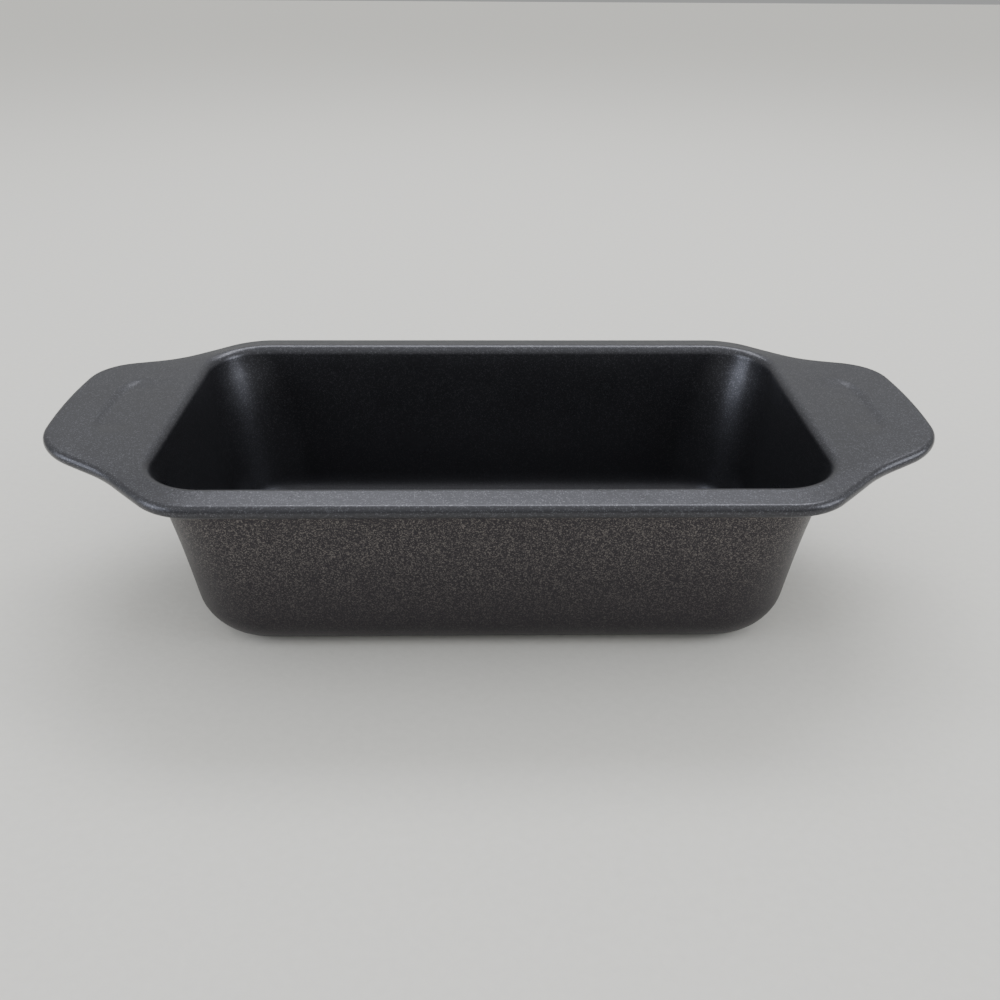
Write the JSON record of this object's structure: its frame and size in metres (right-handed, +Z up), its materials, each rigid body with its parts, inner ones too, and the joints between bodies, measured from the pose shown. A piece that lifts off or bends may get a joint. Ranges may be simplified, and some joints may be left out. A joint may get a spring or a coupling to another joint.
{
  "type": "loaf pan",
  "caption": "Rectangular loaf pan of pressed sheet steel with sloping walls, a flat flange with a wired edge, broad wing handles and a non-stick coat.",
  "frame": {"origin": "middle of the base, on the surface the pan stands on", "axes": "+X along the pan through both handles, +Y across it, +Z up out of the opening"},
  "size_m": [0.3022, 0.1436, 0.0718],
  "materials": {
    "sheet_steel": "cold-rolled sheet, hidden under the coats",
    "food_side_coat": "smooth dark grey non-stick, satin, with a faint metallic fleck",
    "outside_coat": "dark grey non-stick with a metallic fleck, satin",
    "wire_steel": "plain drawn wire, hidden in the edge"
  },
  "bodies": {
    "root": {"pan_shell": "sheet_steel", "inner_coating": "food_side_coat", "outer_coating": "outside_coat", "rim_wire": "wire_steel"}
  },
  "joints": []
}
